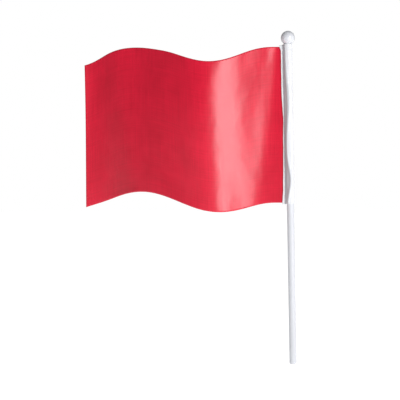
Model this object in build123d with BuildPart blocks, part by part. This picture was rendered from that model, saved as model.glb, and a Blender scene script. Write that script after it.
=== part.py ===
from build123d import *
import os
from math import cos, exp, pi

os.makedirs("parts", exist_ok=True)

# A hand-waving flag: a white plastic pole with a ball on top, a white fabric sleeve that turns on the
# pole, and a red cloth sewn between the two plies of the sleeve's tail with one lockstitch seam.
# Millimetres. The origin is the centre of the pole's foot, +Z runs up the pole, the cloth flies
# towards -X and its front looks towards -Y.

# --- driving dimensions ---------------------------------------------------------------------------

total_height = 460.0

pole_diameter = 10.0
pole_wall = 1.0
ball_diameter = 19.0
plug_flange_diameter = 9.6
plug_flange_height = 1.2
plug_rim_radius = 0.7
finial_shank_length = 14.0
plug_shank_length = 9.0
shank_lead_in = 0.6
gate_mark_diameter = 1.6
gate_mark_depth = 0.25

sleeve_length = 221.0
ball_to_sleeve = 0.4           # from the ball's seat down to the sleeve's top edge
sleeve_slack = 0.65            # gap all round between the pole and the loop of fabric
sleeve_ply = 0.6
tail_start = 8.2               # from the pole's axis to where the loop's two plies meet
tail_end = 10.2                # from the pole's axis to the mouth that the cloth comes out of
tail_thickness = 1.4
loop_neck = 0.2                # width of the thin strips that the loop and its hollow narrow down to
hollow_tip = 0.1               # how far apart the two plies still are where the hollow ends

cloth_height = 216.0
cloth_chord = 289.0            # straight across the waving cloth, from the seam to the fly edge
cloth_thickness = 0.8
cloth_below_sleeve_top = 2.6
fold_line_gap = 0.8            # from the tail's mouth to the line that the cloth folds on
cloth_past_fold = 0.2          # how far the cloth's hoist edge reaches back past that line
cloth_columns = 40             # steps between the points that the cloth's surface is fitted to
cloth_rows = 8

wave_depth = 20.0              # half of the wave's whole depth
wave_length = 236.0
crest_at = 132.0               # from the seam to the crest nearest the front
forward_drift = 0.06           # how far the whole cloth drifts to the front per millimetre along it
wave_hold = 20.0               # the seam keeps the wave out of the cloth for about this far
edge_rise = 14.9               # how far the long edges swing up and down as the cloth shears
edge_rise_length = 260.0
edge_low_at = 78.5
edge_hold = 47.5               # the seam keeps the long edges level for about this far
gather = 0.058                 # share of its height that the cloth loses where it gathers most
gather_at = 151.0
gather_spread = 77.0

thread_width = 0.5
thread_height = 0.25
thread_from_mouth = 1.2
thread_end_margin = 1.0

# --- worked-out places ----------------------------------------------------------------------------

pole_radius = pole_diameter / 2
bore_radius = pole_radius - pole_wall
ball_radius = ball_diameter / 2
ball_centre = total_height - ball_radius
pole_top = ball_centre - (ball_radius**2 - pole_radius**2) ** 0.5
pole_bottom = plug_flange_height

sleeve_top = pole_top - ball_to_sleeve
sleeve_bottom = sleeve_top - sleeve_length
loop_inner_radius = pole_radius + sleeve_slack
loop_outer_radius = loop_inner_radius + sleeve_ply

cloth_top = sleeve_top - cloth_below_sleeve_top
cloth_middle = cloth_top - cloth_height / 2
fold_line = tail_end + fold_line_gap
cloth_start = fold_line - cloth_past_fold

# --- the pole: a tube with a flanged plug in its foot and a ball pressed into its top ---------------

with BuildPart() as pole_tube:
    with BuildSketch(Plane.XY.offset(pole_bottom)):
        Circle(pole_radius)
        Circle(bore_radius, mode=Mode.SUBTRACT)
    extrude(amount=pole_top - pole_bottom)

with BuildPart() as foot_plug:
    with BuildSketch(Plane.XY):
        Circle(plug_flange_diameter / 2)
    extrude(amount=plug_flange_height)
    rim = foot_plug.edges().filter_by(GeomType.CIRCLE).sort_by(Axis.Z)[0]
    fillet(rim, plug_rim_radius)
    with BuildSketch(Plane.XY.offset(plug_flange_height)):
        Circle(bore_radius)
    extrude(amount=plug_shank_length)
    shank_end = foot_plug.edges().filter_by(GeomType.CIRCLE).sort_by(Axis.Z)[-1]
    chamfer(shank_end, shank_lead_in)

with BuildPart() as finial_ball:
    with BuildSketch(Plane.XZ):
        with BuildLine():
            RadiusArc((pole_radius, pole_top), (ball_radius, ball_centre), -ball_radius)
            RadiusArc((ball_radius, ball_centre), (0, total_height), -ball_radius)
            Polyline(
                (0, total_height),
                (0, pole_top - finial_shank_length),
                (bore_radius, pole_top - finial_shank_length),
                (bore_radius, pole_top),
                (pole_radius, pole_top),
            )
        make_face()
    revolve(axis=Axis.Z)
    shank_end = finial_ball.edges().filter_by(GeomType.CIRCLE).sort_by(Axis.Z)[0]
    chamfer(shank_end, shank_lead_in)
    with BuildSketch(Plane.XY.offset(total_height - gate_mark_depth)):
        Circle(gate_mark_diameter / 2)
    extrude(amount=gate_mark_depth, mode=Mode.SUBTRACT)

# --- the sleeve: a strip of fabric round the pole, its two plies lying together in a tail -----------

with BuildPart() as pole_sleeve:
    with BuildSketch(Plane.XY.offset(sleeve_bottom)):
        Circle(loop_outer_radius)
        with Locations((-(tail_start - loop_neck / 2), 0)):
            Rectangle(loop_neck, tail_thickness)
        make_hull()
        with Locations((-(tail_start + tail_end) / 2, 0)):
            Rectangle(tail_end - tail_start, tail_thickness)
        with BuildSketch(mode=Mode.PRIVATE) as loop_hollow:
            Circle(loop_inner_radius)
            with Locations((-(tail_start - sleeve_ply), 0)):
                Rectangle(loop_neck, hollow_tip)
            make_hull()
        add(loop_hollow.sketch, mode=Mode.SUBTRACT)
    extrude(amount=sleeve_length)

# --- the seam: a needle thread on the front of the tail and a bobbin thread on its back -------------


def seam_thread(side):
    """One thread of the lockstitch, lying along the tail on its front (-1) or back (+1) face."""
    with BuildPart() as thread:
        with BuildSketch(Plane.XY.offset(cloth_top - cloth_height + thread_end_margin)):
            with Locations((-(tail_end - thread_from_mouth), side * (tail_thickness + thread_height) / 2)):
                Rectangle(thread_width, thread_height)
        extrude(amount=cloth_height - 2 * thread_end_margin)
    return thread


seam_needle_thread = seam_thread(-1)
seam_bobbin_thread = seam_thread(+1)

# --- the cloth: one waving sheet, cut 216 high and about 316 long when it lies flat -----------------


def cloth_point(along, up):
    """A point of the waving cloth, `along` from its hoist edge and `up` above its middle line."""
    waving = 1 - exp(-((along / wave_hold) ** 2))
    swinging = 1 - exp(-((along / edge_hold) ** 2))
    gathered = 1 - gather * exp(-(((along - gather_at) / gather_spread) ** 2))
    wave_phase = 2 * pi * (along - crest_at) / wave_length
    edge_phase = 2 * pi * (along - edge_low_at) / edge_rise_length
    return Vector(
        -cloth_start - along,
        -(wave_depth * (1 + cos(wave_phase)) + forward_drift * along) * waving,
        cloth_middle - edge_rise * cos(edge_phase) * swinging + up * gathered,
    )


def cloth_row(up):
    """One row of points across the cloth, from its hoist edge to its fly edge."""
    return [cloth_point(cloth_chord * step / cloth_columns, up) for step in range(cloth_columns + 1)]


cloth_face = Face.make_surface_from_array_of_points(
    [cloth_row(cloth_height * (step / cloth_rows - 0.5)) for step in range(cloth_rows + 1)]
)

with BuildPart() as flag_cloth:
    thicken(cloth_face, amount=cloth_thickness / 2, both=True)

# --- labels and files -----------------------------------------------------------------------------

pole_tube.part.label = "pole_tube"
foot_plug.part.label = "foot_plug"
finial_ball.part.label = "finial_ball"
pole_sleeve.part.label = "pole_sleeve"
seam_needle_thread.part.label = "seam_needle_thread"
seam_bobbin_thread.part.label = "seam_bobbin_thread"
flag_cloth.part.label = "flag_cloth"

export_step(pole_tube.part, "parts/pole_tube.step")
export_step(foot_plug.part, "parts/foot_plug.step")
export_step(finial_ball.part, "parts/finial_ball.step")
export_step(pole_sleeve.part, "parts/pole_sleeve.step")
export_step(seam_needle_thread.part, "parts/seam_needle_thread.step")
export_step(seam_bobbin_thread.part, "parts/seam_bobbin_thread.step")
export_step(flag_cloth.part, "parts/flag_cloth.step")
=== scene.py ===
from math import cos, pi, radians, sin

import bpy
import numpy as np
from mathutils import Matrix, Vector, noise


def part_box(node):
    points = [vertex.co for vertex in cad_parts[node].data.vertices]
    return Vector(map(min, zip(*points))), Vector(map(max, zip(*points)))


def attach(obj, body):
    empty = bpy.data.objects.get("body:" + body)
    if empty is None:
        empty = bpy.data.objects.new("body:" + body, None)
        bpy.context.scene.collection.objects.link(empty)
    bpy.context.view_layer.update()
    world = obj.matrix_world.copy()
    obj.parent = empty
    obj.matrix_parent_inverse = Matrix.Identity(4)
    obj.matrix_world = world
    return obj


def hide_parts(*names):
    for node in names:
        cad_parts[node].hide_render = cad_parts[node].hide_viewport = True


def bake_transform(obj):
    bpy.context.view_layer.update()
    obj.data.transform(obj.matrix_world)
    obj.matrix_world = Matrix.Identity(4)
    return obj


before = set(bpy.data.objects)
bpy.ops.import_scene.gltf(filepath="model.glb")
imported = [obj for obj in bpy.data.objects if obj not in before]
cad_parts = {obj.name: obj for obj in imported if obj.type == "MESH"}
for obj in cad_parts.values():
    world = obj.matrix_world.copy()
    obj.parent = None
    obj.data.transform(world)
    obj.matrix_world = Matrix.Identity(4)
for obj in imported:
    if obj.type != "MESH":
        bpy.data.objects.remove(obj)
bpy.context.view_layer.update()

# A hand-waving flag in metres, in the frame of the CAD model: the pole's foot is at the origin, +Z runs up
# the pole, the cloth flies towards -X and its front looks towards -Y.

MM = 0.001

# --- places that come from the frame ----------------------------------------------------------------

pole_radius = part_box("pole_tube")[1].x
sleeve_low, sleeve_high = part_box("pole_sleeve")
tail_end = -sleeve_low.x
thread_low, thread_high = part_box("seam_needle_thread")
thread_end_margin = 1 * MM      # the threads stop this far short of the cloth's top and bottom edges
seam_bottom = thread_low.z - thread_end_margin
seam_top = thread_high.z + thread_end_margin

# --- the cloth's own sizes, as in the CAD model -------------------------------------------------------

cloth_height = 216 * MM
cloth_chord = 289 * MM          # straight across the waving cloth, from the seam to the fly edge
cloth_flat_length = 316 * MM
cloth_middle = (seam_bottom + seam_top) / 2
cloth_start = 10.8 * MM         # from the pole's axis to the cloth's hoist edge

wave_depth = 20 * MM            # half of the wave's whole depth
wave_length = 236 * MM
crest_at = 132 * MM             # from the seam to the crest nearest the front
forward_drift = 0.06            # how far the whole cloth drifts to the front per millimetre along it
wave_hold = 20 * MM             # the seam keeps the wave out of the cloth for about this far
edge_rise = 14.9 * MM           # how far the long edges swing up and down as the cloth shears
edge_rise_length = 260 * MM
edge_low_at = 78.5 * MM
edge_hold = 47.5 * MM           # the seam keeps the long edges level for about this far
gather = 0.058                  # share of its height that the cloth loses where it gathers most
gather_at = 151 * MM
gather_spread = 77 * MM

# --- what Blender adds to the cloth -------------------------------------------------------------------

cloth_thickness = 0.3 * MM
margin_in_tail = 3.2 * MM       # how far the cloth reaches into the sleeve's tail
cloth_columns = 90
cloth_rows = 61

fly_start = 180 * MM            # the fly edge's own shape begins this far along the cloth
fly_gather = 0.02               # share of its height that the fly edge loses besides
fly_gather_reach = 22 * MM
fly_reach = 4.3 * MM            # how much further out the fly edge stands than the CAD cloth's
fly_slant = -0.02               # and how much more of that per millimetre up
fly_twist = 0.035               # how far the fly edge leans to the front per millimetre up

# The top edge sags and lifts a little on its own: by how much, where and over what half width.
top_edge_lifts = [
    dict(lift=-3 * MM, at=88 * MM, width=28 * MM),
    dict(lift=2 * MM, at=148 * MM, width=25 * MM),
]

# The sewn edge pulls the cloth to the front faster than the wave alone would, most of all near its top.
seam_pull = 4 * MM
seam_pull_length = 48 * MM
seam_pull_slant = -0.114        # how far along the pull's start moves per millimetre up
seam_pull_fades_from = 100 * MM

# Low down the cloth leaves the seam more flatly and so stays further back, until the wave takes over.
low_set_back = 7 * MM
low_set_back_start = 16 * MM
low_set_back_end = 66 * MM
low_begins = 60 * MM            # above the middle line, where the set-back begins
low_is_whole = 119 * MM         # below the middle line, where it would be whole
low_fades_from = 105 * MM
low_is_gone = 215 * MM

# Each soft fold: how far it stands to the front, where it crosses the middle line, how far it moves along
# the cloth per millimetre up, its half width, the height of its middle and how far it reaches up and down.
folds = [
    dict(rise=8.0 * MM, at=97 * MM, slant=-0.33, width=45 * MM, middle=132 * MM, reach=96 * MM),
    dict(rise=3.8 * MM, at=35 * MM, slant=-0.14, width=19.5 * MM, middle=27 * MM, reach=112 * MM),
    dict(rise=8.8 * MM, at=90 * MM, slant=0.05, width=36 * MM, middle=-127 * MM, reach=200 * MM),
    dict(rise=-10.0 * MM, at=145 * MM, slant=-0.03, width=38 * MM, middle=105 * MM, reach=250 * MM),
    dict(rise=-8.0 * MM, at=292 * MM, slant=-0.07, width=28 * MM, middle=90 * MM, reach=250 * MM),
    dict(rise=-5.0 * MM, at=180 * MM, slant=0.0, width=30 * MM, middle=130 * MM, reach=70 * MM),
    dict(rise=-2.8 * MM, at=78 * MM, slant=-0.14, width=21 * MM, middle=90 * MM, reach=50 * MM),
    dict(rise=8.0 * MM, at=229 * MM, slant=0.08, width=27 * MM, middle=58 * MM, reach=250 * MM),
]
fold_hold = 10 * MM             # the seam keeps the folds out of the cloth for about this far

# --- the simulation that settles the cloth --------------------------------------------------------------

settle_frames = 20
settle_quality = 6
point_mass = 0.001              # kilograms for each point of the sheet
pin_stiffness = 0.2
in_plane_stiffness = 20
shear_stiffness = 8
bending_stiffness = 0.3
air_damping = 2
free_firmness = 0.1             # how firmly the cloth keeps its shape outside the seam, where it is 1
firm_until = 1 * MM             # the seam holds the cloth firmly up to here
spare_length = 0.007            # share of its length that the cloth has to spare where it buckles most
spare_near_seam = 22 * MM       # it buckles most within about this far of the seam
spare_elsewhere = 0.12          # and has this share of that spare length everywhere else
spare_patch = 40 * MM           # size of the patches that have a little more or less
spare_seed = 3
furthest_move = 3 * MM          # no point may move further than this
kept_move = 0.45                # share of the simulated move that is kept, to leave the highlights smooth

# --- the sleeve's sizes -------------------------------------------------------------------------------

ply_thickness = 0.35 * MM
ply_offset = 0.36 * MM          # from the cloth's middle plane to the middle of each ply in the tail
loop_radius = 5.55 * MM
closest_ply = pole_radius + 0.27 * MM
sleeve_rows = 222
tail_steps = 9
turn_steps = 6
loop_steps = 60

# The tail and its mouth, which the cloth comes out of.
mouth_at = 9.8 * MM             # from the pole's axis to the mouth
mouth_ripple = dict(depth=0.12 * MM, length=31 * MM, phase=0.4)
mouth_lift = 0.8 * MM           # how far the front ply's edge stands off the cloth
tail_width = 3.2 * MM
tail_ripple = dict(depth=0.35 * MM, length=13 * MM, phase=1.7)
nearest_tail = 6.3 * MM         # the tail never reaches nearer to the pole's axis than this
# The sewing puckers the tail's inner end.
pucker = dict(depth=0.14 * MM, length=12 * MM, phase=0.0)
# Where the mouth flares out or, below 0, is pinched in: by how much, at what height, over what half height.
mouth_flares = [
    dict(out=-1.5 * MM, at=340 * MM, height=22 * MM),
    dict(out=-1.1 * MM, at=296 * MM, height=38 * MM),
    dict(out=2.2 * MM, at=sleeve_high.z, height=5 * MM),
    dict(out=1.2 * MM, at=sleeve_low.z, height=14 * MM),
]

# The front ply is slack. From a crease beside the tail it runs straight to a ridge, and from there back to
# the pole. Angles go round the pole from the tail towards the front, in degrees.
crease_angle = 14.0
crease_out = 0.9 * MM           # how far the ply stands out from the loop in the crease
ridge_angle = 56
ridge_out = 0.3 * MM
ridge_run_out = 85.0            # from the ridge round to where the ply lies on the pole again
ridge_softness = 5              # how far round the ridge is smoothed
# Where the ridge bulges: how much further round and out it lies, at what height and over what half height.
ridge_bulges = [
    dict(turn=46, out=1.5 * MM, at=362 * MM, height=42 * MM),
    dict(turn=54, out=2.2 * MM, at=255 * MM, height=28 * MM),
]
# Near one height the ridge is softer: by how many degrees more, at what height and over what half height.
softer_ridge = dict(more=13, at=372 * MM, height=50 * MM)
# At the back the ply is a little slack too, round one angle.
back_slack_angle = 260
back_slack_spread = 50
back_slack = dict(depth=0.35 * MM, length=70 * MM, phase=1.0)
turn_out_of_tail = 0.5 * MM     # how far the tail's direction carries on into the turn
turn_into_ply = 0.7 * MM        # and how far back the loop's direction reaches into it
crinkle = 0.22 * MM             # how far the whole ply crinkles off the loop
crinkle_size = 9 * MM
crinkle_seed = 5
degrees_per_radian = 57.3

# The cut top and bottom edges slope and waver a little.
top_slope = 0.7 * MM
bottom_slope = 0.8 * MM
top_waver = dict(depth=0.25 * MM, length=9 * MM, phase=0.3)
bottom_waver = dict(depth=0.25 * MM, length=7 * MM, phase=1.3)
edge_reach = 12 * MM            # how far from the edge the rows still follow it

# The painted shade in the crease: how near the pole's axis it begins, and how it fades round to the ridge,
# in degrees.
shade_from = 8.0 * MM
shade_ripple = dict(depth=0.5 * MM, length=11 * MM, phase=0.6)
shade_whole = 1.1 * MM           # it is whole this much nearer than it begins
shade_angles = (10, 16)
shade_before_ridge = 6
shade_past_ridge = 14

stitch_length = 2.5 * MM
stitch_gap = 0.35 * MM
stitch_width = 0.36 * MM
stitch_from_mouth = 1.3 * MM
stitch_tilt = 0.10
stitch_flatness = 0.75
stitch_sink = 0.16 * MM         # how deep the stitch's ends sink into the fabric
stitch_proud = 0.04 * MM
stitch_end_radius = 0.01 * MM
stitch_rings = 8
stitch_sides = 10

# --- colours, light and camera ------------------------------------------------------------------------

dark_red = (0.545, 0.005, 0.026, 1)
light_red = (0.67, 0.007, 0.035, 1)
satin_roughness = 0.31
satin_roughness_range = 0.03
dark_white_fabric = (0.66, 0.67, 0.70, 1)
light_white_fabric = (0.74, 0.745, 0.77, 1)
# painted grey shade for the crease beside the sleeve's tail
crease_shade_grey = (0.50, 0.53, 0.56, 1)
dark_thread = (0.74, 0.75, 0.77, 1)
light_thread = (0.9, 0.9, 0.91, 1)

# Angles are in degrees, distances and sizes in metres, power in watts, the lens and sensor in millimetres.
camera_place = dict(azimuth=19, elevation=1, roll=-1.06, distance=1.0)
camera_aim = Vector((-0.1322, 0, 0.2288))
camera_lens = 62.3
camera_sensor = 36

light_aim = Vector((-0.15, 0, 0.3))
key_light = dict(azimuth=52, elevation=6, distance=1.4, size=(0.22, 0.85), power=12.2)
top_light = dict(azimuth=0, elevation=80, distance=1.6, size=(1.2, 1.2), power=0.7)
world_left, world_right = 0.17, 0.22
floor_half_size = 6.0
floor_glow = 0.88               # keeps the floor as pale as the walls behind it


# --- small functions ----------------------------------------------------------------------------------


def bump(distance, spread):
    """A smooth hill of height 1 where the distance is 0."""
    return np.exp(-((distance / spread) ** 2))


def smooth_step(value, start, end):
    """0 before start, 1 after end, and smooth between them (arrays)."""
    t = np.clip((value - start) / (end - start), 0, 1)
    return t * t * (3 - 2 * t)


def noise_field(u, v, cell, seed):
    """Smooth noise between about -1 and 1 over two arrays, in patches about `cell` across.

    Each seed takes its own plane of the noise, far enough from the others to look unlike them.
    """
    flat = [noise.noise(Vector((a / cell, b / cell, seed * 7.31))) for a, b in zip(u.ravel(), v.ravel())]
    return np.array(flat).reshape(u.shape)


# --- mesh helpers -----------------------------------------------------------------------------------


def mesh_object(name, points, faces, flat=None):
    """A new smooth mesh object; `flat` is each vertex's place on the flat-cut cloth, kept as a UV map."""
    mesh = bpy.data.meshes.new(name)
    mesh.from_pydata([tuple(p) for p in points], [], faces)
    mesh.update()
    if flat is not None:
        layer = mesh.uv_layers.new(name="flat_cloth")
        corners = np.zeros(len(mesh.loops), int)
        mesh.loops.foreach_get("vertex_index", corners)
        layer.data.foreach_set("uv", np.asarray(flat, float)[corners].ravel())
    mesh.polygons.foreach_set("use_smooth", [True] * len(mesh.polygons))
    obj = bpy.data.objects.new(name, mesh)
    bpy.context.scene.collection.objects.link(obj)
    return obj


def grid_faces(columns, rows):
    """Quads of a grid whose vertices run row by row, `columns` to a row."""
    return [
        (r * columns + c, r * columns + c + 1, (r + 1) * columns + c + 1, (r + 1) * columns + c)
        for r in range(rows - 1)
        for c in range(columns - 1)
    ]


def row_lengths(points):
    """How far each point of each row is along its row."""
    steps = np.linalg.norm(np.diff(points, axis=1), axis=2)
    return np.concatenate([np.zeros((len(points), 1)), np.cumsum(steps, axis=1)], axis=1)


def apply_modifiers(obj):
    """Turn the object's modifiers into plain mesh."""
    depsgraph = bpy.context.evaluated_depsgraph_get()
    evaluated = obj.evaluated_get(depsgraph)
    mesh = bpy.data.meshes.new_from_object(evaluated, preserve_all_data_layers=True, depsgraph=depsgraph)
    obj.modifiers.clear()
    obj.data = mesh


def thicken_sheet(obj, thickness):
    """Give a sheet its real thickness, half to each side."""
    modifier = obj.modifiers.new("thickness", "SOLIDIFY")
    modifier.thickness = thickness
    modifier.offset = 0
    modifier.use_even_offset = True
    apply_modifiers(obj)


# --- the cloth ----------------------------------------------------------------------------------------


def cloth_surface(along, up):
    """Points of the waving cloth, `along` from its hoist edge and `up` above its middle line (arrays)."""
    waving = 1 - bump(along, wave_hold)
    swinging = 1 - bump(along, edge_hold)
    gathered = 1 - gather * bump(along - gather_at, gather_spread)
    gathered -= fly_gather * bump(cloth_chord - along, fly_gather_reach)
    wave_phase = 2 * pi * (along - crest_at) / wave_length
    edge_phase = 2 * pi * (along - edge_low_at) / edge_rise_length
    forward = (wave_depth * (1 + np.cos(wave_phase)) + forward_drift * along) * waving
    pull_start = np.clip(seam_pull_slant * (up - cloth_height / 2), 0, None)
    pulled = smooth_step(along, pull_start, pull_start + seam_pull_length)
    forward += seam_pull * pulled * (1 - smooth_step(along, seam_pull_fades_from, cloth_chord))
    low_down = smooth_step(-up, -low_begins, low_is_whole)
    low_down *= 1 - smooth_step(along, low_fades_from, low_is_gone)
    forward -= low_set_back * smooth_step(along, low_set_back_start, low_set_back_end) * low_down
    for fold in folds:
        line = fold["at"] + fold["slant"] * up
        reach = bump(up - fold["middle"], fold["reach"])
        forward += fold["rise"] * bump(along - line, fold["width"]) * reach * (1 - bump(along, fold_hold))
    towards_fly = smooth_step(along, fly_start, cloth_chord)
    forward += fly_twist * up * towards_fly
    x = -cloth_start - along - (fly_reach + fly_slant * up) * towards_fly
    z = cloth_middle - edge_rise * np.cos(edge_phase) * swinging + up * gathered
    near_top = smooth_step(up, -cloth_height / 2, cloth_height / 2)
    for trim in top_edge_lifts:
        z = z + trim["lift"] * bump(along - trim["at"], trim["width"]) * near_top
    return np.stack([x, -forward, z], axis=-1)


def settle(obj, firmness, spare):
    """Let a cloth simulation ease a shaped sheet into soft buckles, and keep part of the move in its mesh.

    `firmness` is how firmly each point stays where it was shaped, and `spare` is each point's share of
    spare_length.
    """
    start = np.array([v.co for v in obj.data.vertices])
    held = obj.vertex_groups.new(name="held")
    eased = obj.vertex_groups.new(name="eased")
    for index, (firm, share) in enumerate(zip(firmness, spare)):
        held.add([index], float(firm), "REPLACE")
        eased.add([index], float(share), "REPLACE")
    modifier = obj.modifiers.new("settle", "CLOTH")
    settings = modifier.settings
    settings.quality = settle_quality
    settings.mass = point_mass
    settings.vertex_group_mass = "held"
    settings.pin_stiffness = pin_stiffness
    settings.vertex_group_shrink = "eased"
    settings.shrink_min = 0
    settings.shrink_max = -spare_length
    settings.tension_stiffness = in_plane_stiffness
    settings.compression_stiffness = in_plane_stiffness
    settings.shear_stiffness = shear_stiffness
    settings.bending_stiffness = bending_stiffness
    settings.air_damping = air_damping
    settings.effector_weights.gravity = 0
    modifier.point_cache.frame_start = 1
    modifier.point_cache.frame_end = settle_frames
    scene = bpy.context.scene
    for frame_number in range(1, settle_frames + 1):
        scene.frame_set(frame_number)
    evaluated = obj.evaluated_get(bpy.context.evaluated_depsgraph_get())
    move = np.array([v.co for v in evaluated.data.vertices]) - start
    obj.modifiers.clear()
    obj.vertex_groups.clear()
    scene.frame_set(1)
    distance = np.linalg.norm(move, axis=1, keepdims=True)
    move *= kept_move * np.minimum(1, furthest_move / np.maximum(distance, 1e-9))
    obj.data.vertices.foreach_set("co", (start + move).ravel())
    obj.data.update()


def build_cloth():
    """The red cloth, from the margin caught in the sleeve's tail to the fly edge."""
    along = np.linspace(-margin_in_tail, cloth_chord, cloth_columns)
    up = np.linspace(-cloth_height / 2, cloth_height / 2, cloth_rows)
    a, u = np.meshgrid(along, up)
    caught = np.clip(a, 0, None)
    points = cloth_surface(caught, u)
    points[..., 0] += caught - a
    middle_row = row_lengths(points)[cloth_rows // 2]
    flat_along = middle_row / middle_row[-1] * (cloth_flat_length + margin_in_tail)
    flat_a = np.broadcast_to(flat_along, a.shape)
    flat = np.stack([flat_a, u], axis=-1).reshape(-1, 2)
    cloth = mesh_object("waving_cloth", points.reshape(-1, 3), grid_faces(cloth_columns, cloth_rows), flat)
    spare = spare_elsewhere + (1 - spare_elsewhere) * bump(caught, spare_near_seam)
    spare += spare_elsewhere * noise_field(a, u, spare_patch, spare_seed)
    firmness = np.where(a <= firm_until, 1.0, free_firmness)
    settle(cloth, firmness.ravel(), np.clip(spare, 0, 1).ravel())
    smooth = cloth.modifiers.new("smooth", "SUBSURF")
    smooth.levels = 1
    smooth.render_levels = 1
    smooth.boundary_smooth = "PRESERVE_CORNERS"
    apply_modifiers(cloth)
    thicken_sheet(cloth, cloth_thickness)
    return cloth


# --- the sleeve ---------------------------------------------------------------------------------------


def ripple(place, depth, length, phase):
    """A value that wavers between -depth and depth along a place: two sines of different lengths."""
    slow = np.sin(2 * pi * place / length + phase)
    quick = np.sin(2 * pi * place / (0.62 * length) + 2.1 * phase)
    return depth * (0.6 * slow + 0.4 * quick)


def mouth_distance(z):
    """How far the tail's mouth is from the pole's axis at each height."""
    distance = mouth_at + ripple(z, **mouth_ripple)
    for flare in mouth_flares:
        distance = distance + flare["out"] * bump(z - flare["at"], flare["height"])
    return distance


def ridge_place(z):
    """The angle and the radius of the slack ply's ridge at each height."""
    angle, radius = ridge_angle, loop_radius + ridge_out
    for bulge in ridge_bulges:
        share = bump(z - bulge["at"], bulge["height"])
        angle = angle + bulge["turn"] * share
        radius = radius + bulge["out"] * share
    return angle, radius


def straight_ply(angle, first, first_radius, last, last_radius):
    """The radius at an angle on the straight line between two points of the section (degrees)."""
    from_first = np.sin(np.radians(angle - first))
    to_last = np.sin(np.radians(last - angle))
    whole = np.sin(np.radians(last - first))
    return first_radius * last_radius * whole / (first_radius * from_first + last_radius * to_last)


def slack_radius(angle, z):
    """The radius of the slack ply: straight from its crease to a ridge, and from there back to the pole."""
    ridge, ridge_radius = ridge_place(z)
    pole_again = ridge + ridge_run_out
    before = np.clip(angle, crease_angle, ridge)
    after = np.clip(angle, ridge, pole_again)
    return np.where(
        angle < ridge,
        straight_ply(before, crease_angle, loop_radius + crease_out, ridge, ridge_radius),
        straight_ply(after, ridge, ridge_radius, pole_again, loop_radius),
    )


def loop_point(angle, z):
    """A point of the ply's middle at an angle round the pole, from the tail towards the front (degrees)."""
    softness = ridge_softness + softer_ridge["more"] * bump(z - softer_ridge["at"], softer_ridge["height"])
    radius = sum(slack_radius(angle + step * softness, z) for step in (-1, 0, 1)) / 3
    slack_share = bump(angle - back_slack_angle, back_slack_spread)
    radius = radius + slack_share * (back_slack["depth"] + ripple(z, **back_slack))
    around = angle / degrees_per_radian * loop_radius
    radius = radius + crinkle * (0.5 + 0.5 * noise_field(around, z, crinkle_size, crinkle_seed))
    theta = np.radians(angle)
    return np.stack([-radius * np.cos(theta), -radius * np.sin(theta)], axis=-1)


def turn_into_loop(start, z, angle, side):
    """The smooth turn from the tail at `start` into the loop at `angle`; side is +1 in front, -1 behind."""
    end = loop_point(angle, z)
    theta = np.radians(angle)
    leave = np.stack([np.sin(theta), -np.cos(theta)], axis=-1) * side
    first = start + np.array([turn_out_of_tail, 0])
    second = end - leave * turn_into_ply
    t = np.linspace(0, 1, turn_steps + 1)[None, 1:, None]
    start, first, second, end = (p[:, None, :] for p in (start, first, second, end))
    return (1 - t) ** 3 * start + 3 * (1 - t) ** 2 * t * first + 3 * (1 - t) * t**2 * second + t**3 * end


def sleeve_section(z):
    """The ply's middle line at each height: front tail, turn, loop, turn and back tail."""
    mouth = mouth_distance(z)
    inner = np.maximum(mouth - tail_width + ripple(z, **tail_ripple), nearest_tail)
    puckered = np.abs(ripple(z, **pucker))
    t = np.linspace(0, 1, tail_steps + 1)[None, :]
    tail_x = -(mouth[:, None] + (inner - mouth)[:, None] * t)
    front_y = -(ply_offset + mouth_lift * (1 - t) + puckered[:, None] * t)
    back_y = ply_offset + puckered[:, None] * t
    front_tail = np.stack([tail_x, front_y], axis=-1)
    back_tail = np.stack([tail_x, back_y], axis=-1)
    first, last = crease_angle, 360 - 2 * crease_angle
    front_turn = turn_into_loop(front_tail[:, -1], z, np.full_like(z, first), 1)
    back_turn = turn_into_loop(back_tail[:, -1], z, np.full_like(z, last), -1)
    angles, heights = np.meshgrid(np.linspace(first, last, loop_steps + 1)[1:-1], z)
    loop = loop_point(angles, heights)
    section = np.concatenate([front_tail, front_turn, loop, back_turn[:, ::-1], back_tail[:, ::-1]], axis=1)
    distance = np.linalg.norm(section, axis=2, keepdims=True)
    return section * np.maximum(1, closest_ply / distance)


def painted_crease_shade(section, z):
    """How much painted grey shade the fabric gets at each point, from 0 to 1: most of all in the crease by
    the tail.
    """
    distance = np.hypot(section[..., 0], section[..., 1])
    angle = np.degrees(np.arctan2(-section[..., 1], -section[..., 0]))
    fade = (shade_from + ripple(z, **shade_ripple))[:, None]
    ridge = ridge_place(z)[0][:, None]
    shaded = smooth_step(-distance, -fade, shade_whole - fade)
    shaded = np.maximum(shaded, smooth_step(angle, *shade_angles))
    return shaded * smooth_step(-angle, -ridge - shade_past_ridge, -ridge + shade_before_ridge) * (angle > 0)


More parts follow.
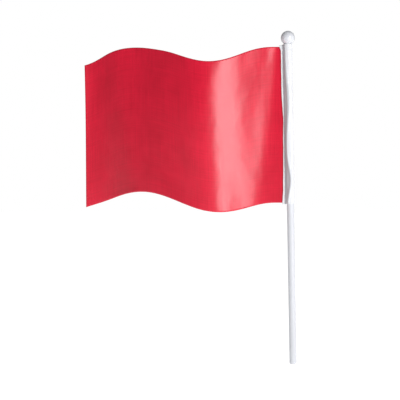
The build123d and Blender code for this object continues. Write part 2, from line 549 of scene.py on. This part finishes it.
def build_sleeve():
    """The white fabric sleeve: one ply from the tail's front edge round the pole to its back edge."""
    z = np.linspace(sleeve_low.z, sleeve_high.z, sleeve_rows)
    section = sleeve_section(z)
    columns = section.shape[1]
    flat_x = row_lengths(section)
    heights = np.broadcast_to(z[:, None], (len(z), columns)).copy()
    in_tail = np.clip((-section[..., 0] - pole_radius) / (tail_end - pole_radius), 0, 1)
    top_cut = top_slope * in_tail + top_waver["depth"] + ripple(flat_x, **top_waver)
    bottom_cut = bottom_slope * (1 - in_tail) + bottom_waver["depth"] + ripple(flat_x, **bottom_waver)
    heights -= top_cut * smooth_step(heights, sleeve_high.z - edge_reach, sleeve_high.z)
    heights += bottom_cut * smooth_step(-heights, -sleeve_low.z - edge_reach, -sleeve_low.z)
    points = np.concatenate([section, heights[..., None]], axis=-1).reshape(-1, 3)
    flat = np.stack([flat_x, heights], axis=-1).reshape(-1, 2)
    sleeve = mesh_object("fabric_sleeve", points, grid_faces(columns, sleeve_rows), flat)
    # the painted shade in the crease, kept as an attribute for the fabric's colour
    layer = sleeve.data.attributes.new("crease", "FLOAT", "POINT")
    layer.data.foreach_set("value", painted_crease_shade(section, z).ravel())
    thicken_sheet(sleeve, ply_thickness)
    return sleeve


def stitch_points(middle, side):
    """Rings of points along one plump stitch, whose ends sink into the fabric."""
    half = (stitch_length - stitch_gap) / 2
    points = []
    for ring in range(stitch_rings + 1):
        t = -1 + 2 * ring / stitch_rings
        plump = max(1 - t**4, 0.0) ** 0.5 * 0.5 * stitch_width + stitch_end_radius
        for step in range(stitch_sides):
            turn = 2 * pi * step / stitch_sides
            across = plump * cos(turn) + stitch_tilt * side * t * half
            out = side * (stitch_flatness * plump * sin(turn) - stitch_sink * t * t + stitch_proud)
            points.append(middle + Vector((across, out, t * half)))
    return points


def stitch_faces(base):
    """The faces of one stitch whose first point is number `base`, with both ends closed."""
    faces = []
    for ring in range(stitch_rings):
        for step in range(stitch_sides):
            next_step = (step + 1) % stitch_sides
            low = base + ring * stitch_sides
            high = low + stitch_sides
            faces.append((low + step, low + next_step, high + next_step, high + step))
    faces.append(tuple(base + step for step in reversed(range(stitch_sides))))
    faces.append(tuple(base + stitch_rings * stitch_sides + step for step in range(stitch_sides)))
    return faces


def build_stitches(name, side):
    """One row of lockstitches along the tail, on its front (-1) or back (+1) face."""
    points, faces = [], []
    lift = mouth_lift * (1 - stitch_from_mouth / tail_width) if side < 0 else 0
    surface = ply_offset + lift + ply_thickness / 2
    count = int((seam_top - seam_bottom - 2 * thread_end_margin) / stitch_length)
    for number in range(count):
        middle_z = seam_bottom + thread_end_margin + stitch_length * (number + 0.5)
        mouth = float(mouth_distance(np.array([middle_z]))[0])
        middle = Vector((-(mouth - stitch_from_mouth), side * surface, middle_z))
        faces += stitch_faces(len(points))
        points += stitch_points(middle, side)
    return mesh_object(name, points, faces)


# --- materials ----------------------------------------------------------------------------------------


def new_material(name):
    """A material with its node tree, Principled shader and a helper that adds linked nodes."""
    material = bpy.data.materials.new(name)
    material.use_nodes = True
    tree = material.node_tree
    shader = tree.nodes["Principled BSDF"]

    def node(kind, inputs=None, **settings):
        made = tree.nodes.new(kind)
        for key, value in settings.items():
            setattr(made, key, value)
        for key, value in (inputs or {}).items():
            if isinstance(value, bpy.types.NodeSocket):
                tree.links.new(value, made.inputs[key])
            else:
                made.inputs[key].default_value = value
        return made.outputs

    return material, shader, node, tree.links.new


def weave_height(node, place, pitch):
    """A plain weave: threads of one pitch passing over and under each other."""
    split = node("ShaderNodeSeparateXYZ", {"Vector": place})
    waves = []
    for axis in ("X", "Y"):
        turns = node("ShaderNodeMath", {0: split[axis], 1: pi / pitch}, operation="MULTIPLY")["Value"]
        waves.append(node("ShaderNodeMath", {0: turns}, operation="SINE")["Value"])
    return node("ShaderNodeMath", {0: waves[0], 1: waves[1]}, operation="MULTIPLY")["Value"]


def slubs(node, place, along_x, along_y, detail=2.0):
    """Uneven threads: noise drawn out along one direction of the cloth, as cycles per metre."""
    stretch = {0: place, 1: (along_x, along_y, 1)}
    stretched = node("ShaderNodeVectorMath", stretch, operation="MULTIPLY")["Vector"]
    return node("ShaderNodeTexNoise", {"Vector": stretched, "Scale": 1.0, "Detail": detail})["Fac"]


def red_satin():
    """The cloth's red satin: uneven threads, a fine weave and a soft gloss."""
    material, shader, node, link = new_material("red_satin_cloth")
    place = node("ShaderNodeUVMap", uv_map="flat_cloth")["UV"]
    warp = slubs(node, place, 900, 14)
    weft = slubs(node, place, 14, 900)
    cloudy = slubs(node, place, 25, 25)
    threads = node("ShaderNodeMath", {0: warp, 1: weft}, operation="ADD")["Value"]
    uneven = node("ShaderNodeMath", {0: threads, 1: cloudy}, operation="ADD")["Value"]
    shade = node("ShaderNodeMapRange", {"Value": uneven, "From Min": 1.2, "From Max": 1.8})["Result"]
    ramp = node("ShaderNodeMix", {"Factor": shade, "A": dark_red, "B": light_red}, data_type="RGBA")
    link(ramp[2], shader.inputs["Base Color"])
    rough = node(
        "ShaderNodeMapRange",
        {
            "Value": threads,
            "From Min": 0.7,
            "From Max": 1.3,
            "To Min": satin_roughness - satin_roughness_range,
            "To Max": satin_roughness + satin_roughness_range,
        },
    )["Result"]
    link(rough, shader.inputs["Roughness"])
    weave = weave_height(node, place, 0.36 * MM)
    height = node("ShaderNodeMath", {0: weave, 1: 0.25, 2: threads}, operation="MULTIPLY_ADD")["Value"]
    raised = node("ShaderNodeBump", {"Height": height, "Distance": 0.03 * MM, "Strength": 0.35})["Normal"]
    link(raised, shader.inputs["Normal"])
    shader.inputs["Specular IOR Level"].default_value = 0.43
    return material


def white_fabric():
    """The sleeve's white fabric: coarser threads, no gloss, and painted grey shade in the crease by the
    tail.
    """
    material, shader, node, link = new_material("white_sleeve_fabric")
    place = node("ShaderNodeUVMap", uv_map="flat_cloth")["UV"]
    warp = slubs(node, place, 900, 30)
    weft = slubs(node, place, 30, 900)
    threads = node("ShaderNodeMath", {0: warp, 1: weft}, operation="ADD")["Value"]
    shade = node("ShaderNodeMapRange", {"Value": threads, "From Min": 0.7, "From Max": 1.3})["Result"]
    colors = {"Factor": shade, "A": dark_white_fabric, "B": light_white_fabric}
    ramp = node("ShaderNodeMix", colors, data_type="RGBA")
    # darkens the crease with painted grey shade
    crease = node("ShaderNodeAttribute", attribute_name="crease")["Fac"]
    shaded = node("ShaderNodeMix", {"Factor": crease, "A": ramp[2], "B": crease_shade_grey}, data_type="RGBA")
    link(shaded[2], shader.inputs["Base Color"])
    weave = weave_height(node, place, 0.38 * MM)
    height = node("ShaderNodeMath", {0: weave, 1: 0.4, 2: threads}, operation="MULTIPLY_ADD")["Value"]
    raised = node("ShaderNodeBump", {"Height": height, "Distance": 0.05 * MM, "Strength": 0.6})["Normal"]
    link(raised, shader.inputs["Normal"])
    shader.inputs["Roughness"].default_value = 0.78
    shader.inputs["Specular IOR Level"].default_value = 0.25
    shader.inputs["Sheen Weight"].default_value = 0.15
    shader.inputs["Sheen Roughness"].default_value = 0.5
    return material


def white_plastic(name, low_color, high_color, roughness, streak):
    """White plastic with faint clouds and fine wear marks; a lower `streak` draws them out up the pole."""
    material, shader, node, link = new_material(name)
    place = node("ShaderNodeTexCoord")["Object"]
    clouds = node("ShaderNodeTexNoise", {"Vector": place, "Scale": 35.0, "Detail": 3.0})["Fac"]
    ramp = node("ShaderNodeMix", {"Factor": clouds, "A": low_color, "B": high_color}, data_type="RGBA")
    link(ramp[2], shader.inputs["Base Color"])
    drawn = node("ShaderNodeVectorMath", {0: place, 1: (1400, 1400, streak)}, operation="MULTIPLY")["Vector"]
    lines = node("ShaderNodeTexNoise", {"Vector": drawn, "Scale": 1.0, "Detail": 3.0})["Fac"]
    rough = node(
        "ShaderNodeMapRange",
        {
            "Value": lines,
            "From Min": 0.3,
            "From Max": 0.7,
            "To Min": roughness - 0.05,
            "To Max": roughness + 0.06,
        },
    )["Result"]
    link(rough, shader.inputs["Roughness"])
    raised = node("ShaderNodeBump", {"Height": lines, "Distance": 0.02 * MM, "Strength": 0.25})["Normal"]
    link(raised, shader.inputs["Normal"])
    shader.inputs["Specular IOR Level"].default_value = 0.45
    return material


def thread_polyester():
    """The seam's white thread, with the twist of its strands."""
    material, shader, node, link = new_material("white_thread")
    place = node("ShaderNodeTexCoord")["Object"]
    twist = node("ShaderNodeVectorMath", {0: place, 1: (2500, 2500, 5200)}, operation="MULTIPLY")["Vector"]
    bands = {"Vector": twist, "Scale": 1.0, "Distortion": 1.0}
    strands = node("ShaderNodeTexWave", bands, bands_direction="DIAGONAL")
    ramp = node(
        "ShaderNodeMix",
        {"Factor": strands["Fac"], "A": dark_thread, "B": light_thread},
        data_type="RGBA",
    )
    link(ramp[2], shader.inputs["Base Color"])
    relief = {"Height": strands["Fac"], "Distance": 0.03 * MM, "Strength": 0.5}
    raised = node("ShaderNodeBump", relief)["Normal"]
    link(raised, shader.inputs["Normal"])
    shader.inputs["Roughness"].default_value = 0.5
    return material


def dress(obj, material):
    """Give an object one material, in place of any it had."""
    obj.data.materials.clear()
    obj.data.materials.append(material)


# --- light, floor and camera --------------------------------------------------------------------------


def direction(azimuth, elevation):
    """The unit vector towards an azimuth and elevation in degrees; azimuth 0 is straight in front."""
    a, e = radians(azimuth), radians(elevation)
    return Vector((sin(a) * cos(e), -cos(a) * cos(e), sin(e)))


def build_camera():
    """The camera at the photograph's viewing angle, rolled as the photograph is."""
    away = direction(camera_place["azimuth"], camera_place["elevation"])
    roll = Matrix.Rotation(radians(camera_place["roll"]), 3, "Z")
    camera = bpy.data.objects.new("camera", bpy.data.cameras.new("camera"))
    camera.data.lens = camera_lens
    camera.data.sensor_width = camera_sensor
    camera.location = camera_aim + away * camera_place["distance"]
    camera.rotation_euler = (away.to_track_quat("Z", "Y").to_matrix() @ roll).to_euler()
    bpy.context.scene.collection.objects.link(camera)
    bpy.context.scene.camera = camera


def area_light(name, azimuth, elevation, distance, size, power):
    """A soft rectangular light aimed at the middle of the flag; azimuth 0 is straight in front of it."""
    away = direction(azimuth, elevation)
    light = bpy.data.lights.new(name, "AREA")
    light.shape = "RECTANGLE"
    light.size, light.size_y = size
    light.energy = power
    obj = bpy.data.objects.new(name, light)
    obj.location = light_aim + away * distance
    obj.rotation_euler = away.to_track_quat("Z", "Y").to_euler()
    bpy.context.scene.collection.objects.link(obj)


def build_floor():
    """A plain pale floor."""
    half = floor_half_size
    corners = [(-half, -half, 0), (half, -half, 0), (half, half, 0), (-half, half, 0)]
    floor = mesh_object("floor", corners, [(0, 1, 2, 3)])
    material, shader = new_material("pale_floor")[:2]
    shader.inputs["Base Color"].default_value = (0.9, 0.9, 0.9, 1)
    shader.inputs["Roughness"].default_value = 0.9
    shader.inputs["Emission Color"].default_value = (1, 1, 1, 1)
    shader.inputs["Emission Strength"].default_value = floor_glow
    dress(floor, material)


def build_world():
    """Pale studio walls: white to the camera, and dimmer on the left than on the right as light."""
    world = bpy.data.worlds.new("studio")
    world.use_nodes = True
    tree = world.node_tree
    background = tree.nodes["Background"]
    place = tree.nodes.new("ShaderNodeTexCoord")
    split = tree.nodes.new("ShaderNodeSeparateXYZ")
    across = tree.nodes.new("ShaderNodeMapRange")
    across.inputs["From Min"].default_value = -1
    across.inputs["From Max"].default_value = 1
    across.inputs["To Min"].default_value = world_left
    across.inputs["To Max"].default_value = world_right
    tree.links.new(place.outputs["Generated"], split.inputs["Vector"])
    tree.links.new(split.outputs["X"], across.inputs["Value"])
    rays = tree.nodes.new("ShaderNodeLightPath")
    strength = tree.nodes.new("ShaderNodeMix")
    tree.links.new(rays.outputs["Is Camera Ray"], strength.inputs["Factor"])
    tree.links.new(across.outputs["Result"], strength.inputs["A"])
    strength.inputs["B"].default_value = 1.0
    tree.links.new(strength.outputs["Result"], background.inputs["Strength"])
    background.inputs["Color"].default_value = (1, 1, 1, 1)
    bpy.context.scene.world = world


# --- putting it together ------------------------------------------------------------------------------

cloth = build_cloth()
dress(cloth, red_satin())
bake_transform(cloth)
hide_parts("flag_cloth")

sleeve = build_sleeve()
dress(sleeve, white_fabric())
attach(sleeve, "sleeve")
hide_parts("pole_sleeve")

thread = thread_polyester()
for piece_name, node_name, side in (
    ("needle_stitches", "seam_needle_thread", -1),
    ("bobbin_stitches", "seam_bobbin_thread", 1),
):
    stitches = build_stitches(piece_name, side)
    dress(stitches, thread)
    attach(stitches, "sleeve")
    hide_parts(node_name)

drawn_plastic = white_plastic(
    "drawn_white_plastic",
    low_color=(0.60, 0.615, 0.66, 1),
    high_color=(0.64, 0.653, 0.69, 1),
    roughness=0.34,
    streak=12,
)
moulded_plastic = white_plastic(
    "moulded_white_plastic",
    low_color=(0.58, 0.595, 0.635, 1),
    high_color=(0.63, 0.64, 0.68, 1),
    roughness=0.28,
    streak=900,
)
dress(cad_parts["pole_tube"], drawn_plastic)
dress(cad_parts["finial_ball"], moulded_plastic)
dress(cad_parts["foot_plug"], moulded_plastic)

build_camera()
build_floor()
build_world()
area_light("key_softbox", **key_light)
area_light("top_softbox", **top_light)
bpy.context.scene.view_settings.view_transform = "Standard"
